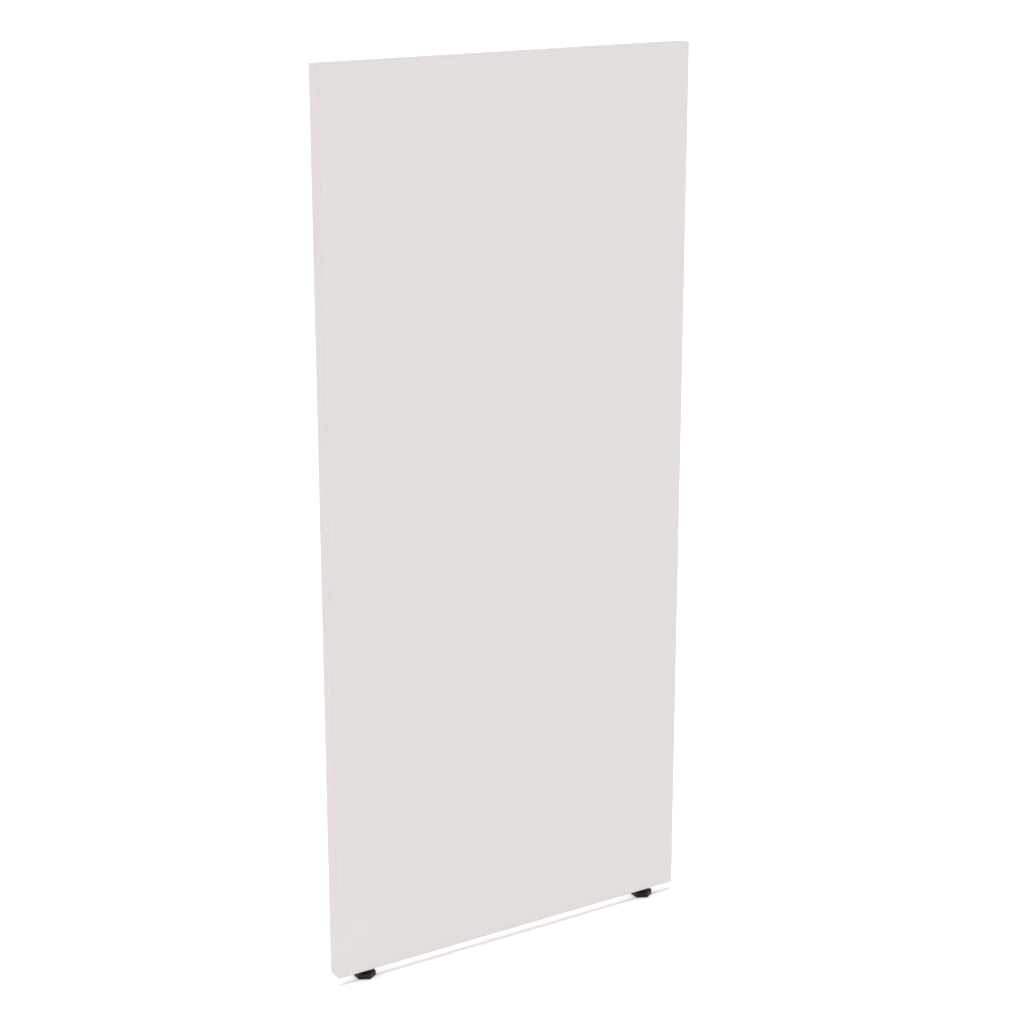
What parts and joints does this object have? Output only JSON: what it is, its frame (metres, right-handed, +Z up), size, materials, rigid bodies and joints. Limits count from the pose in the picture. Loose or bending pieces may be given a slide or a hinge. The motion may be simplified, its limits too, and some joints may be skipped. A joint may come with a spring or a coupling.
{
  "type": "office divider panel",
  "caption": "Plain white floor-standing office divider board with square edges, on black hexagonal screw feet that level it.",
  "frame": {"origin": "on the floor, under the middle of the board", "axes": "+X along the board's width, +Y through its thickness from the front face to the back, +Z up"},
  "size_m": [0.8, 0.0436, 1.768],
  "materials": {
    "white_laminate": "matte",
    "white_edging": "matte",
    "skin_board": "matte",
    "frame_wood": "matte",
    "dowel_wood": "matte",
    "soft_board": "matte",
    "zinc_steel": "satin",
    "black_moulding": "matte",
    "dark_glide": "matte"
  },
  "bodies": {
    "panel": {"front_laminate": "white_laminate", "back_laminate": "white_laminate", "front_skin": "skin_board", "back_skin": "skin_board", "left_edge_band": "white_edging", "right_edge_band": "white_edging", "top_edge_band": "white_edging", "bottom_edge_band": "white_edging", "left_stile": "frame_wood", "right_stile": "frame_wood", "top_rail": "frame_wood", "middle_rail": "frame_wood", "bottom_rail": "frame_wood", "frame_dowels": "dowel_wood", "upper_infill": "soft_board", "lower_infill": "soft_board", "left_insert_nut": "zinc_steel", "right_insert_nut": "zinc_steel"},
    "left_glide": {"left_foot_glide": "dark_glide"},
    "left_foot": {"left_foot_base": "black_moulding", "left_foot_stud": "zinc_steel"},
    "right_glide": {"right_foot_glide": "dark_glide"},
    "right_foot": {"right_foot_base": "black_moulding", "right_foot_stud": "zinc_steel"}
  },
  "joints": [
    {"name": "left_foot_height", "type": "slide", "parent": "panel", "child": "left_glide", "axis": [0, 0, -1], "range_m": [0, 0.015]},
    {"name": "left_foot_turn", "type": "hinge", "parent": "left_glide", "child": "left_foot", "pos_m": [-0.3335, 0, 0], "axis": [0, 0, -1], "range_deg": [0, 4320]},
    {"name": "right_foot_height", "type": "slide", "parent": "panel", "child": "right_glide", "axis": [0, 0, -1], "range_m": [0, 0.015]},
    {"name": "right_foot_turn", "type": "hinge", "parent": "right_glide", "child": "right_foot", "pos_m": [0.3335, 0, 0], "axis": [0, 0, -1], "range_deg": [0, 4320]}
  ],
  "couplings": [
    {"joint": "left_foot_height", "follows": "left_foot_turn", "m_per_rad": 0.00019894},
    {"joint": "right_foot_height", "follows": "right_foot_turn", "m_per_rad": 0.00019894}
  ]
}
